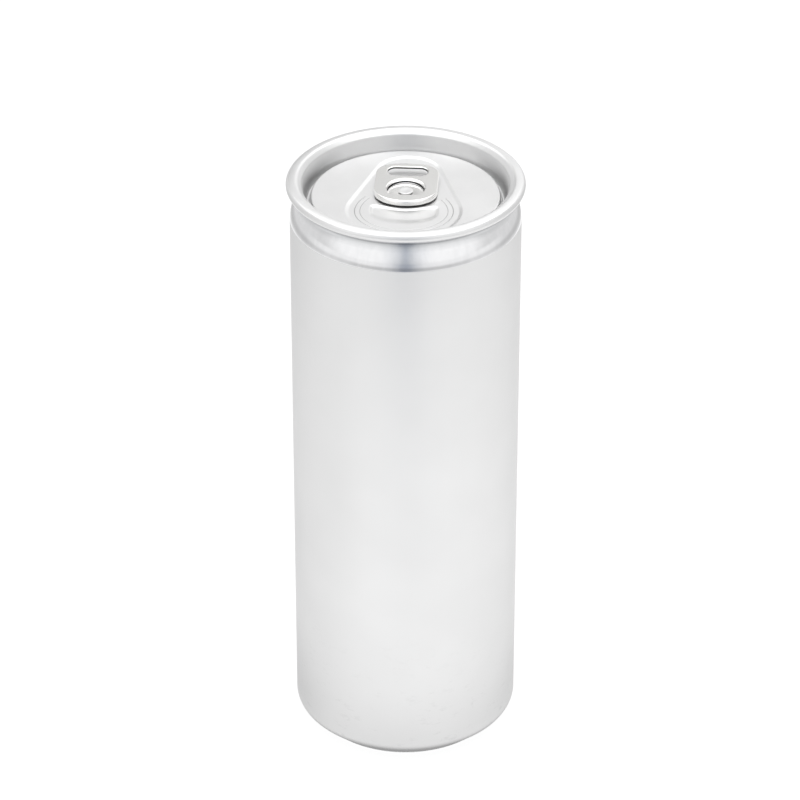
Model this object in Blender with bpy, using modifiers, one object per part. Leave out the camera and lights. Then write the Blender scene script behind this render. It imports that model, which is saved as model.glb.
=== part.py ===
"""Blank aluminium drink can, 355 ml sleek size: a necked and flanged body with a
stay-on-tab end lying on its flange, not yet seamed.

Metres, +Z up. The can stands on z = 0 with its axis on the Z axis, and the tab's
nose points along -Y, towards the pour opening.
"""

import math

import bmesh
import bpy

MM = 0.001

# Overall sizes.
CAN_HEIGHT = 157.0 * MM
BODY_RADIUS = 28.7 * MM
GAP = 0.3 * MM                  # clearance between parts that rest on each other
SEGMENTS = 64

# Body base: a stand ring with a small flat, an outer leg that slopes up to the wall,
# and a domed recess inside the ring.
STAND_RADIUS = 22.74 * MM
STAND_FLAT = 0.6 * MM
STAND_ROUND = 1.1 * MM
LEG_SLOPE = math.radians(42.7)
HEEL_ROUND = 3.06 * MM
DOME_LEG_RADIUS = 21.3 * MM
DOME_LEG_TOP = 2.6 * MM
DOME_DEPTH = 10.2 * MM
DOME_RINGS = 5

# Body top: shoulder, neck and flange, measured down from the top of the can.
SHOULDER_DROP = 10.8 * MM
SHOULDER_ROUND = 10.0 * MM
SHOULDER_SLOPE = math.radians(30.0)
NECK_RADIUS = 26.65 * MM
NECK_ROUND = 4.0 * MM
FLANGE_RADIUS = 28.0 * MM
FLANGE_DROP = 0.8 * MM
FLANGE_ROUND = 1.35 * MM
FLANGE_SHEET = 0.3 * MM
FLANGE_SWEEP = 0.55 * math.pi   # where the round under the flange starts, from +X

# End (lid): curl, crowned rim, chuck wall, countersink and centre panel, all as its
# upper surface, measured down from the top of the can.
LID_SHEET = 0.22 * MM
RIM_RADIUS = 27.4 * MM          # where the rim is highest
RIM_INNER_ROUND = 1.3 * MM      # its crown, from there in to the cone
RIM_CONE = 0.9 * MM             # length of the cone that leads down to the chuck wall
RIM_CONE_SLOPE = math.radians(43.0)
RIM_OUTER_ROUND = 7.0 * MM      # the crown from the highest point out to the curl
RIM_TILT = math.radians(10.0)   # slope at which it meets the curl
CURL_RADIUS = 29.54 * MM
CURL_ROUND = 1.12 * MM
CURL_END = math.radians(-55.0)
CHUCK_ROUND = 0.6 * MM
CHUCK_BASE_RADIUS = 24.75 * MM
GROOVE_ROUND = 0.62 * MM
GROOVE_DROP = 6.4 * MM
PANEL_DROP = 4.4 * MM
PANEL_CORNER = 0.55 * MM

# Teardrop recess in the centre panel: (y, radius) of the circle at each end.
TEARDROP_FRONT = (-8.2 * MM, 14.0 * MM)
TEARDROP_BACK = (12.1 * MM, 8.0 * MM)
TEARDROP_DEPTH = 0.3 * MM

# Crescent recess in the tear panel, in front of the tab's nose: a rounded bar that
# bends back round the nose at both ends.
CRESCENT_DEPTH = 0.3 * MM
CRESCENT_HALF_LENGTH = 8.4 * MM
CRESCENT_CENTRE_Y = -10.6 * MM
CRESCENT_BACK = (3.1 * MM, 3.6 * MM)    # reach towards the rivet, swing of the ends
CRESCENT_FRONT = (2.8 * MM, 1.9 * MM)   # the same for its edge towards the rim
CRESCENT_POWER = 3.2

# Rivet, one piece with the lid.
RIVET_HEAD_RADIUS = 1.81 * MM
RIVET_STEM_RADIUS = 1.2 * MM
RIVET_TOP_DROP = 3.35 * MM
RIVET_HEAD_THICKNESS = 0.37 * MM
RIVET_BOSS_RADIUS = 2.4 * MM
RIVET_BOSS_HEIGHT = 0.1 * MM

# Tab: curled edge, web, finger hole, and the island that the rivet holds.
TAB_TOP_DROP = 2.85 * MM
TAB_HALF_WIDTH = 7.85 * MM
TAB_HEEL_Y = 13.9 * MM          # lift end
TAB_HEEL_REACH = 6.3 * MM       # length over which the heel rounds off
TAB_HEEL_POWER = 2.6
TAB_NOSE_Y = -6.7 * MM
TAB_NOSE_REACH = 7.0 * MM
TAB_NOSE_POWER = 2.05
TAB_CURL = 0.75 * MM            # radius of the curled edge
TAB_CURL_OVERLAP = 0.8          # share of it that the web reaches into
TAB_WEB = 0.5 * MM              # thickness of the web
HOLE_CENTRE_Y = 9.6 * MM
HOLE_HALF_LENGTH = 4.95 * MM
HOLE_HALF_WIDTH = 2.3 * MM
HOLE_CURL = 0.6 * MM
SLOT_CENTRE_Y = 0.4 * MM
SLOT_RADIUS = 4.6 * MM
SLOT_CORNER = 0.5 * MM
NOSE_BACK_Y = -2.9 * MM         # where the nose's folded sheet begins
ISLAND_RADIUS = 4.4 * MM
ISLAND_CENTRE_Y = -0.85 * MM
HINGE_HALF_WIDTH = 3.3 * MM     # where the island runs into the nose
ISLAND_TOP_DROP = 4.0 * MM
ISLAND_THICKNESS = 0.3 * MM
RIVET_HOLE_RADIUS = 1.5 * MM
OVERLAP = 0.01 * MM             # by which pieces of one solid reach into each other

# Bare metal colours and how rough each is.
BODY_COLOUR, BODY_ROUGHNESS = (0.80, 0.80, 0.80), 0.30
LID_COLOUR, LID_ROUGHNESS = (0.82, 0.82, 0.82), 0.18
TAB_COLOUR, TAB_ROUGHNESS = (0.78, 0.78, 0.77), 0.22


# ---------------------------------------------------------------- outlines

def arc(centre, radius, start, end, steps):
    """Points on an arc from angle start to angle end, both ends included."""
    points = []
    for i in range(steps + 1):
        angle = start + (end - start) * i / steps
        points.append((centre[0] + radius * math.cos(angle),
                       centre[1] + radius * math.sin(angle)))
    return points


def belt(circles, steps):
    """Outline of a belt round circles (x, y, radius), listed anticlockwise."""
    normals = []
    for i, (x, y, radius) in enumerate(circles):
        next_x, next_y, next_radius = circles[(i + 1) % len(circles)]
        reach = math.hypot(next_x - x, next_y - y)
        heading = math.atan2(next_y - y, next_x - x)
        normals.append(heading - math.acos((radius - next_radius) / reach))
    points = []
    for i, (x, y, radius) in enumerate(circles):
        start = normals[i - 1]
        turn = (normals[i] - start) % math.tau
        points += arc((x, y), radius, start, start + turn, steps)
    return points


def teardrop(grow):
    """Plan outline of the panel's teardrop recess, grown outwards by grow."""
    front_y, front_radius = TEARDROP_FRONT
    back_y, back_radius = TEARDROP_BACK
    return belt([(0, front_y, front_radius + grow), (0, back_y, back_radius + grow)], 18)


def rounded_end(half_width, tip_y, reach, power, steps):
    """Half outline of a tab's end, from its +X side round the tip to its -X side. The
    end closes from full width to its tip over the reach, as a superellipse."""
    root_y = tip_y - math.copysign(reach, tip_y)
    points = []
    for i in range(steps + 1):
        angle = math.pi * i / steps
        across = math.copysign(abs(math.cos(angle)) ** (2 / power), math.cos(angle))
        along = abs(math.sin(angle)) ** (2 / power)
        points.append((half_width * across, root_y + (tip_y - root_y) * along))
    return points


def tab_outline(inset):
    """Plan outline of the tab, drawn in by inset."""
    half_width = TAB_HALF_WIDTH - inset
    heel = rounded_end(half_width, TAB_HEEL_Y - inset, TAB_HEEL_REACH - inset,
                       TAB_HEEL_POWER, 20)
    nose = rounded_end(half_width, TAB_NOSE_Y + inset, TAB_NOSE_REACH - inset,
                       TAB_NOSE_POWER, 20)
    return heel + nose[::-1]


def finger_hole(grow):
    """Plan outline of the tab's finger hole, grown outwards by grow."""
    end_x = HOLE_HALF_LENGTH - HOLE_HALF_WIDTH
    radius = HOLE_HALF_WIDTH + grow
    return belt([(end_x, HOLE_CENTRE_Y, radius), (-end_x, HOLE_CENTRE_Y, radius)], 8)


def step(start, reach, angle):
    """The point at a distance and direction from start."""
    return start[0] + reach * math.cos(angle), start[1] + reach * math.sin(angle)


def rim_rounds():
    """Centres (radius, z) of the rounds of the lid's rim, from the groove out to the
    curl, and how far the chuck wall leans outwards."""
    up = math.pi / 2
    groove = (CHUCK_BASE_RADIUS - GROOVE_ROUND, CAN_HEIGHT - GROOVE_DROP + GROOVE_ROUND)
    inner = (RIM_RADIUS, CAN_HEIGHT - RIM_INNER_ROUND)
    cone_start = step(inner, RIM_INNER_ROUND, up + RIM_CONE_SLOPE)
    cone_end = step(cone_start, RIM_CONE, math.pi + RIM_CONE_SLOPE)
    chuck = step(cone_end, -CHUCK_ROUND, up + RIM_CONE_SLOPE)
    outer = (RIM_RADIUS, CAN_HEIGHT - RIM_OUTER_ROUND)
    curl = (CURL_RADIUS - CURL_ROUND,
            outer[1] + (RIM_OUTER_ROUND - CURL_ROUND) * math.cos(RIM_TILT))
    across, rise = chuck[0] - groove[0], chuck[1] - groove[1]
    lean = math.atan2(across, rise) - math.asin((GROOVE_ROUND + CHUCK_ROUND)
                                                / math.hypot(across, rise))
    return groove, chuck, inner, outer, curl, lean


# ---------------------------------------------------------------- objects

def material(name, colour, roughness):
    """Bare aluminium: a metallic Principled BSDF."""
    made = bpy.data.materials.new(name)
    made.use_nodes = True
    shader = made.node_tree.nodes["Principled BSDF"]
    shader.inputs["Base Color"].default_value = (*colour, 1)
    shader.inputs["Metallic"].default_value = 1
    shader.inputs["Roughness"].default_value = roughness
    return made


def add_object(name, data, collection):
    made = bpy.data.objects.new(name, data)
    collection.objects.link(made)
    return made


def turned(name, profile, collection):
    """A profile of (radius, z) points, turned once round the Z axis."""
    mesh = bpy.data.meshes.new(name)
    edges = [(i, i + 1) for i in range(len(profile) - 1)]
    mesh.from_pydata([(radius, 0, z) for radius, z in profile], edges, [])
    made = add_object(name, mesh, collection)
    screw = made.modifiers.new("turn", "SCREW")
    screw.steps = SEGMENTS
    screw.render_steps = SEGMENTS
    screw.use_merge_vertices = True
    screw.merge_threshold = 0.00001
    screw.use_smooth_shade = True
    return made


def curve_outline(name, points, height):
    """A closed 2D curve through points at the given height."""
    curve = bpy.data.curves.new(name, "CURVE")
    spline = curve.splines.new("POLY")
    spline.points.add(len(points) - 1)
    for point, (x, y) in zip(spline.points, points):
        point.co = (x, y, 0, 1)
    spline.use_cyclic_u = True
    made = bpy.data.objects.new(name, curve)
    made.location.z = height
    bpy.context.scene.collection.objects.link(made)
    return made


def curve_to_mesh(made, collection):
    """Replace a curve object by its closed mesh, in the collection given."""
    bpy.context.view_layer.update()
    evaluated = made.evaluated_get(bpy.context.evaluated_depsgraph_get())
    mesh = bpy.data.meshes.new_from_object(evaluated)
    shell = bmesh.new()
    shell.from_mesh(mesh)
    bmesh.ops.remove_doubles(shell, verts=shell.verts, dist=0.000001)
    shell.to_mesh(mesh)
    shell.free()
    name = made.name
    placing = made.matrix_world.copy()
    bpy.data.objects.remove(made)
    solid = add_object(name, mesh, collection)
    solid.matrix_world = placing
    return solid


def plate(name, points, bottom, top, collection):
    """A flat plate of the outline given, between two heights."""
    made = curve_outline(name, points, (bottom + top) / 2)
    made.data.dimensions = "2D"
    made.data.fill_mode = "BOTH"
    made.data.extrude = (top - bottom) / 2
    return curve_to_mesh(made, collection)


def curled_edge(name, points, radius, height, collection):
    """A round bead that follows a closed outline."""
    made = curve_outline(name, points, height)
    made.data.dimensions = "3D"
    made.data.bevel_depth = radius
    made.data.bevel_resolution = 2
    return curve_to_mesh(made, collection)


def combine(made, tool, operation):
    """Join tool to an object, or cut it away, and keep tool out of sight."""
    tool.hide_render = True
    tool.display_type = "WIRE"
    boolean = made.modifiers.new(tool.name, "BOOLEAN")
    boolean.operation = operation
    boolean.object = tool


# ---------------------------------------------------------------- body

def base_profile():
    """From the wall's foot round the heel, down the leg, over the stand ring, and up
    to the middle of the dome."""
    outer_x = STAND_RADIUS + STAND_FLAT / 2
    inner_x = STAND_RADIUS - STAND_FLAT / 2
    stand_end = LEG_SLOPE - math.pi / 2
    leg_foot = (outer_x + STAND_ROUND * math.cos(stand_end),
                STAND_ROUND + STAND_ROUND * math.sin(stand_end))
    heel_x = BODY_RADIUS - HEEL_ROUND
    heel_end_x = heel_x + HEEL_ROUND * math.cos(stand_end)
    heel_end_z = leg_foot[1] + (heel_end_x - leg_foot[0]) * math.tan(LEG_SLOPE)
    heel_z = heel_end_z - HEEL_ROUND * math.sin(stand_end)

    points = arc((heel_x, heel_z), HEEL_ROUND, 0, stand_end, 4)
    points += arc((outer_x, STAND_ROUND), STAND_ROUND, stand_end, -math.pi / 2, 2)
    inner_round = inner_x - DOME_LEG_RADIUS
    points += arc((inner_x, inner_round), inner_round, -math.pi / 2, -math.pi, 2)

    rise = DOME_DEPTH - DOME_LEG_TOP
    dome_radius = (DOME_LEG_RADIUS ** 2 + rise ** 2) / (2 * rise)
    edge_angle = math.asin(DOME_LEG_RADIUS / dome_radius)
    dome_centre = (0, DOME_DEPTH - dome_radius)
    points += arc(dome_centre, dome_radius, math.pi / 2 - edge_angle, math.pi / 2, DOME_RINGS)
    points[-1] = (0, DOME_DEPTH)
    return points


def shoulder_profile():
    """From the flange's edge down its underside, the neck and the shoulder."""
    flange_top = CAN_HEIGHT - FLANGE_DROP
    flange_base = flange_top - FLANGE_SHEET
    neck_top = (NECK_RADIUS + FLANGE_ROUND, flange_base - FLANGE_ROUND)
    points = [(FLANGE_RADIUS, flange_top), (FLANGE_RADIUS, flange_base)]
    points += arc(neck_top, FLANGE_ROUND, FLANGE_SWEEP, math.pi, 4)

    shoulder_z = CAN_HEIGHT - SHOULDER_DROP
    shoulder = (BODY_RADIUS - SHOULDER_ROUND, shoulder_z)
    shoulder_end_x = shoulder[0] + SHOULDER_ROUND * math.cos(SHOULDER_SLOPE)
    shoulder_end_z = shoulder_z + SHOULDER_ROUND * math.sin(SHOULDER_SLOPE)
    neck_x = NECK_RADIUS + NECK_ROUND
    slope_top_x = neck_x - NECK_ROUND * math.cos(SHOULDER_SLOPE)
    slope_top_z = shoulder_end_z + (shoulder_end_x - slope_top_x) / math.tan(SHOULDER_SLOPE)
    neck_z = slope_top_z + NECK_ROUND * math.sin(SHOULDER_SLOPE)
    points += arc((neck_x, neck_z), NECK_ROUND, math.pi, math.pi + SHOULDER_SLOPE, 3)
    points += arc(shoulder, SHOULDER_ROUND, SHOULDER_SLOPE, 0, 4)
    return points


def seat_profile():
    """From the middle of the body's top face out to the flange, clear of the lid."""
    below = LID_SHEET + GAP
    plateau_z = CAN_HEIGHT - PANEL_DROP - TEARDROP_DEPTH - CRESCENT_DEPTH - below
    plateau_radius = CHUCK_BASE_RADIUS - 2 * GROOVE_ROUND - below
    groove_z = CAN_HEIGHT - GROOVE_DROP - below
    groove_radius = CHUCK_BASE_RADIUS + below
    flange_top = CAN_HEIGHT - FLANGE_DROP
    _, chuck, _, _, _, lean = rim_rounds()
    points = [(0, plateau_z),
              (plateau_radius, plateau_z),
              (plateau_radius, groove_z),
              (groove_radius, groove_z),
              (groove_radius, CAN_HEIGHT - GROOVE_DROP + GROOVE_ROUND)]
    points += arc(chuck, CHUCK_ROUND - below, math.pi - lean, math.pi / 2 + RIM_CONE_SLOPE, 1)
    cone_x, cone_z = points[-1]
    points.append((cone_x + (flange_top - cone_z) / math.tan(RIM_CONE_SLOPE), flange_top))
    return points


def make_body(collection):
    made = turned("body", seat_profile() + shoulder_profile() + base_profile(), collection)
    made.data.materials.append(material("body_aluminium", BODY_COLOUR, BODY_ROUGHNESS))


# ---------------------------------------------------------------- lid

def lid_profile():
    """The lid's upper surface, from the middle of the panel to the curl's edge."""
    up = math.pi / 2
    panel_z = CAN_HEIGHT - PANEL_DROP
    groove, chuck, inner, outer, curl, lean = rim_rounds()
    corner = (groove[0] - GROOVE_ROUND - PANEL_CORNER, panel_z - PANEL_CORNER)
    points = [(0, panel_z)]
    points += arc(corner, PANEL_CORNER, up, 0, 3)
    points += arc(groove, GROOVE_ROUND, math.pi, math.tau - lean, 4)
    points += arc(chuck, CHUCK_ROUND, math.pi - lean, up + RIM_CONE_SLOPE, 1)
    points += arc(inner, RIM_INNER_ROUND, up + RIM_CONE_SLOPE, up, 2)
    points += arc(outer, RIM_OUTER_ROUND, up, up - RIM_TILT, 1)[1:]
    points += arc(curl, CURL_ROUND, up - RIM_TILT, 0, 4)[1:]
    points += arc(curl, CURL_ROUND, 0, CURL_END, 3)[1:]
    return points


def rivet_profile(floor_z):
    """The rivet, from the middle of its head down to inside the lid's sheet."""
    head_top = CAN_HEIGHT - RIVET_TOP_DROP
    head_base = head_top - RIVET_HEAD_THICKNESS
    boss_z = floor_z + RIVET_BOSS_HEIGHT
    root_z = floor_z - LID_SHEET / 2
    head_edge = RIVET_HEAD_RADIUS - RIVET_HEAD_THICKNESS / 2
    return [(0, head_top),
            (head_edge, head_top),
            (RIVET_HEAD_RADIUS, head_top - RIVET_HEAD_THICKNESS / 2),
            (RIVET_HEAD_RADIUS, head_base),
            (RIVET_STEM_RADIUS, head_base),
            (RIVET_STEM_RADIUS, boss_z),
            (RIVET_BOSS_RADIUS, root_z),
            (0, root_z)]


def crescent(grow):
    """Plan outline of the tear panel's crescent recess, grown outwards by grow."""
    half_length = CRESCENT_HALF_LENGTH + grow
    steps = 32
    points = []
    for i in range(steps):
        turn = math.tau * i / steps
        along = math.copysign(abs(math.cos(turn)) ** (2 / CRESCENT_POWER), math.cos(turn))
        across = math.copysign(abs(math.sin(turn)) ** (2 / CRESCENT_POWER), math.sin(turn))
        reach, swing = CRESCENT_BACK if across > 0 else CRESCENT_FRONT
        points.append((half_length * along,
                       CRESCENT_CENTRE_Y + swing * along ** 2 + (reach + grow) * across))
    return points


def press(lid, name, outline, floor_z, top_z, tools):
    """Sink the sheet inside an outline to floor_z: a tray below, then a pocket. The
    outline is a function of how far it is grown outwards."""
    tray = plate(name + "_tray", outline(LID_SHEET), floor_z - LID_SHEET,
                 top_z - LID_SHEET / 2, tools)
    pocket = plate(name + "_pocket", outline(0), floor_z, top_z + LID_SHEET, tools)
    combine(lid, tray, "UNION")
    combine(lid, pocket, "DIFFERENCE")


def make_lid(collection, tools):
    made = turned("lid", lid_profile(), collection)
    sheet = made.modifiers.new("sheet", "SOLIDIFY")
    sheet.thickness = LID_SHEET
    sheet.offset = -1
    sheet.use_even_offset = True

    panel_z = CAN_HEIGHT - PANEL_DROP
    floor_z = panel_z - TEARDROP_DEPTH
    press(made, "teardrop", teardrop, floor_z, panel_z, tools)
    press(made, "crescent", crescent, floor_z - CRESCENT_DEPTH, floor_z, tools)
    combine(made, turned("rivet", rivet_profile(floor_z), tools), "UNION")
    made.data.materials.append(material("end_aluminium", LID_COLOUR, LID_ROUGHNESS))


# ---------------------------------------------------------------- tab

def slot_window():
    """Plan outline of the opening in the web round the island."""
    corner_x = SLOT_RADIUS - 2 * SLOT_CORNER
    return belt([(0, SLOT_CENTRE_Y, SLOT_RADIUS),
                 (-corner_x, NOSE_BACK_Y + SLOT_CORNER, SLOT_CORNER),
                 (corner_x, NOSE_BACK_Y + SLOT_CORNER, SLOT_CORNER)], 12)


def island():
    """Plan outline of the island, a disc cut straight where it runs into the nose."""
    meet = math.asin(HINGE_HALF_WIDTH / ISLAND_RADIUS)
    return arc((0, ISLAND_CENTRE_Y), ISLAND_RADIUS, meet - math.pi / 2,
               math.tau * 0.75 - meet, 24)


def nose(inset):
    """Plan outline of the nose's folded sheet, in front of the slot."""
    tip = rounded_end(TAB_HALF_WIDTH - inset, TAB_NOSE_Y + inset, TAB_NOSE_REACH - inset,
                      TAB_NOSE_POWER, 24)
    return [(x, y) for x, y in tip if y < NOSE_BACK_Y]


def make_tab(collection, tools):
    top = CAN_HEIGHT - TAB_TOP_DROP
    middle = top - TAB_CURL
    base = middle - TAB_CURL
    island_top = CAN_HEIGHT - ISLAND_TOP_DROP
    island_base = island_top - ISLAND_THICKNESS
    inset = TAB_CURL * TAB_CURL_OVERLAP
    hem = finger_hole(HOLE_CURL)
    rivet_hole = arc((0, 0), RIVET_HOLE_RADIUS, 0, math.tau * 0.95, 19)

    made = plate("tab", tab_outline(inset), middle - TAB_WEB / 2, middle + TAB_WEB / 2,
                 collection)
    combine(made, plate("tab_slot", slot_window(), island_base, top, tools), "DIFFERENCE")
    combine(made, plate("tab_nose", nose(inset), island_base, top - TAB_CURL / 4, tools), "UNION")
    combine(made, plate("tab_island", island(), island_base + OVERLAP, island_top, tools),
            "UNION")
    combine(made, plate("tab_hole", hem, base, top, tools), "DIFFERENCE")
    combine(made, curled_edge("tab_hole_curl", hem, HOLE_CURL, middle, tools), "UNION")
    combine(made, curled_edge("tab_curl", tab_outline(TAB_CURL), TAB_CURL, middle, tools), "UNION")
    combine(made, plate("tab_rivet_hole", rivet_hole, island_base - GAP, top, tools), "DIFFERENCE")
    made.data.materials.append(material("tab_aluminium", TAB_COLOUR, TAB_ROUGHNESS))


def main():
    for old in list(bpy.data.objects):
        bpy.data.objects.remove(old)
    can = bpy.data.collections.new("aluminum_beverage_can")
    tools = bpy.data.collections.new("aluminum_beverage_can_tools")
    bpy.context.scene.collection.children.link(can)
    bpy.context.scene.collection.children.link(tools)
    make_body(can)
    make_lid(can, tools)
    make_tab(can, tools)


main()
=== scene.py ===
"""Blank aluminium drink can with a stay-on-tab end lying on its flange, in a studio.

Metres, +Z up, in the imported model's frame: the can stands on z = 0 with its axis on
Z, and the tab's nose points along -Y. Sizes are written in millimetres times MM, and
heights near the top as drops below the can's top.
"""

import math

import bmesh
import bpy
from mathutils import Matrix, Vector
from mathutils.geometry import delaunay_2d_cdt


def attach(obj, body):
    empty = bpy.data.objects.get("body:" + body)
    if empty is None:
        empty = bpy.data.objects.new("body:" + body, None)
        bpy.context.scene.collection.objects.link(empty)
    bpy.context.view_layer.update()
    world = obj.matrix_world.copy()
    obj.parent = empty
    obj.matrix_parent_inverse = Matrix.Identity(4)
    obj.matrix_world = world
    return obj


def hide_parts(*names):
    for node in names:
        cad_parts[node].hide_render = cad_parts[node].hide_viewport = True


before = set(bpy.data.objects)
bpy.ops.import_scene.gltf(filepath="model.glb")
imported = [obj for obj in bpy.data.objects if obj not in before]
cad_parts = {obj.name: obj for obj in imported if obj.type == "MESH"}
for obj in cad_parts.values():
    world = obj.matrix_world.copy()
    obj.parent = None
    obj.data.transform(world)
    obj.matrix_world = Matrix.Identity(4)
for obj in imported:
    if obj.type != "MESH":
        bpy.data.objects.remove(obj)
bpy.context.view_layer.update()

MM = 0.001
CAN_HEIGHT = 157.0 * MM
SEGMENTS = 288
SUPPORT = 0.05 * MM             # width of the level step where a slope meets a flat

# Body base: stand ring, outer leg and dome.
BODY_RADIUS = 28.7 * MM
STAND_RADIUS = 22.74 * MM
STAND_FLAT = 0.6 * MM
STAND_ROUND = 1.1 * MM
LEG_SLOPE = math.radians(42.7)
HEEL_ROUND = 3.06 * MM
DOME_LEG_RADIUS = 21.3 * MM
DOME_LEG_TOP = 2.6 * MM
DOME_DEPTH = 10.2 * MM
DOME_CORNER = 1.2 * MM          # round between the inner leg and the dome
DOME_STEPS = 24
WALL_RINGS = (120 * MM, 90 * MM, 60 * MM, 30 * MM)      # heights of the wall's loops
BASE_METAL_TOP = 2.4 * MM       # below this the base has no coat

# Body top: shoulder, neck and flange.
SATIN_DROP = 10.4 * MM          # the satin coat ends here, with bare metal above
SHOULDER_DROP = 10.8 * MM
SHOULDER_ROUND = 10.0 * MM
SHOULDER_SLOPE = math.radians(30.0)
NECK_RADIUS = 26.65 * MM
NECK_ROUND = 4.0 * MM
FLANGE_RADIUS = 28.0 * MM
FLANGE_ROUND = 1.35 * MM
FLANGE_SHEET = 0.3 * MM
FLANGE_DROP = 0.72 * MM

# Lid.
LID_SHEET = 0.22 * MM
RIM_RADIUS = 27.4 * MM          # where the rim is highest
RIM_INNER_ROUND = 1.3 * MM      # its crown, from there in to the cone
RIM_CONE = 0.9 * MM             # length of the cone that leads down to the chuck wall
RIM_CONE_SLOPE = math.radians(43.0)
RIM_OUTER_ROUND = 7.0 * MM      # the crown from the highest point out to the curl
RIM_TILT = math.radians(10.0)   # slope at which it meets the curl
CURL_RADIUS = 29.54 * MM
CURL_ROUND = 1.12 * MM
CURL_END = math.radians(-55.0)
CHUCK_ROUND = 0.6 * MM
CHUCK_BASE_RADIUS = 24.75 * MM
GROOVE_ROUND = 0.62 * MM
GROOVE_DROP = 6.4 * MM
PANEL_DROP = 4.4 * MM
PANEL_CORNER = 0.55 * MM
TEARDROP_FRONT = (-8.2 * MM, 14.0 * MM)
TEARDROP_BACK = (12.1 * MM, 8.0 * MM)
TEARDROP_DEPTH = 0.3 * MM
TEARDROP_SLOPE = 1.1 * MM
CRESCENT_DEPTH = 0.4 * MM
CRESCENT_SLOPE = 1.1 * MM
CRESCENT_HALF_LENGTH = 8.1 * MM
CRESCENT_CENTRE_Y = -10.6 * MM
CRESCENT_BACK = (3.5 * MM, 3.6 * MM)    # reach towards the rivet, swing of the ends
CRESCENT_FRONT = (2.7 * MM, 1.9 * MM)   # the same for its edge towards the rim
CRESCENT_FRONT_SOFTNESS = 3.0           # how much wider the slope is there
CRESCENT_POWER = 2.8
SCORE_CENTRE_Y = -8.3 * MM
SCORE_HALF_WIDTH = 12.1 * MM
SCORE_FRONT = 10.9 * MM
SCORE_BACK = 12.4 * MM
SCORE_START = math.radians(35.0)
SCORE_END = math.radians(-215.0)
SCORE_LINES = (                 # how far each is drawn in, its half width and its depth
    (0.0 * MM, 0.12 * MM, 0.10 * MM),
    (1.3 * MM, 0.09 * MM, 0.05 * MM),
)
SCORE_FLOOR_SHARE = 0.45        # width of a score's floor against its mouth
RIVET_HEAD_RADIUS = 1.81 * MM
RIVET_TOP_DROP = 3.27 * MM
RIVET_HEAD_THICKNESS = 0.40 * MM
RIVET_STEM_RADIUS = 1.2 * MM
RIVET_BOSS_RADIUS = 2.6 * MM
RIVET_BOSS_HEIGHT = 0.25 * MM
RIVET_DENT = 0.07 * MM

# Tab.
TAB_TOP_DROP = 2.85 * MM
TAB_THICKNESS = 1.58 * MM       # at the nose
TAB_HEEL_SHARE = 0.38           # share of it left at the heel
TAB_TAPER = (1.0 * MM, 8.0 * MM)        # Y where it starts to thin, and where it ends
TAB_HALF_WIDTH = 7.85 * MM
TAB_HEEL_Y = 13.9 * MM
TAB_HEEL_REACH = 6.3 * MM
TAB_HEEL_POWER = 2.6
TAB_NOSE_Y = -6.7 * MM
TAB_NOSE_REACH = 7.0 * MM
TAB_NOSE_POWER = 2.05
TAB_EDGE = 0.72 * MM            # width over which the edge rolls down
TAB_EDGE_SIDES = 0.25           # share of it along the sides
TAB_EDGE_SHADE = (15, 19)        # the edge's loops between which it has painted shade
HOLE_CENTRE_Y = 9.15 * MM
HOLE_HALF_LENGTH = 4.95 * MM
HOLE_HALF_WIDTH = 2.1 * MM
HOLE_EDGE = 1.0 * MM
HOLE_EDGE_SIDES = 0.3           # share of it at the hole's sides and front
HOLE_EDGE_SHADE = (6, 16)
SLOT_CENTRE_Y = 0.1 * MM
SLOT_RADIUS = 4.6 * MM
SLOT_EDGE = 1.3 * MM
SLOT_EDGE_SIDES = 0.27          # share of it at the slot's sides
SLOT_EDGE_SHADE = (8, 18)
SLOT_CORNER = 0.5 * MM
NOSE_BACK_Y = -2.9 * MM
ISLAND_RADIUS = 4.55 * MM
ISLAND_CENTRE_Y = -0.85 * MM
ISLAND_TOP_DROP = 3.75 * MM
ISLAND_THICKNESS = 0.35 * MM
ISLAND_RIM = 0.32 * MM
ISLAND_RIM_HEIGHT = 0.22 * MM
HINGE_HALF_WIDTH = 3.3 * MM
HINGE_LAP = 1.2 * MM            # how far it runs in under the nose
DIMPLE_PLACE = (2.95 * MM, -2.2 * MM)   # a pressed-up dimple at each end of the hinge
DIMPLE_RADIUS = 0.42 * MM
DIMPLE_STRETCH = 1.5            # its length across the tab against its width
DIMPLE_HEIGHT = 0.22 * MM

# Where the finish changes: scuffs near the foot, painted shade on the neck up under the
# curl, and painted shade on the chuck wall's two sides.
SCUFF_HEIGHTS = (4 * MM, 45 * MM)       # full below the first, none above the second
SCUFF_NOISE = (0.57, 0.68)      # noise at which a scuff starts, and is full
NECK_SHADE_DROPS = (5.9 * MM, 3.4 * MM)         # none below the first, full above the second
CHUCK_SHADE_DROPS = (3.8 * MM, 1.7 * MM)        # full below the first, none above the second
CHUCK_SHADE_EDGE = 0.6 * MM     # how far inside the wall's foot it starts
CHUCK_SHADE_SIDES = (16 * MM, 24 * MM)          # X where it starts, and where it is full

# Camera: its place round the can, and the point it looks at.
TURN = math.radians(3.3)        # how far the camera stands round from -Y, towards +X
CAMERA_OFFSET = -1.409 * MM
CAMERA_BACK = 852.9 * MM
CAMERA_HEIGHT = 606.5 * MM
AIM_HEIGHT = 93.44 * MM
LENS = 176.2
SENSOR_WIDTH = 36

# The surroundings that the metal mirrors. Azimuths run from the camera's side towards the
# right. Each part has an azimuth, an elevation, the cones where it is full and where it
# ends, and its level.
SURROUNDINGS_LEVEL = 0.76
SURROUNDINGS = [
    (180, 32, 26, 60, 0.87),
    (-42, 20, 16, 46, 1.05),
    (42, 20, 16, 46, 1.05),
    (154, 20, 8, 18, 1.12),
    (-165, 23, 8, 18, 0.35),
]
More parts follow.
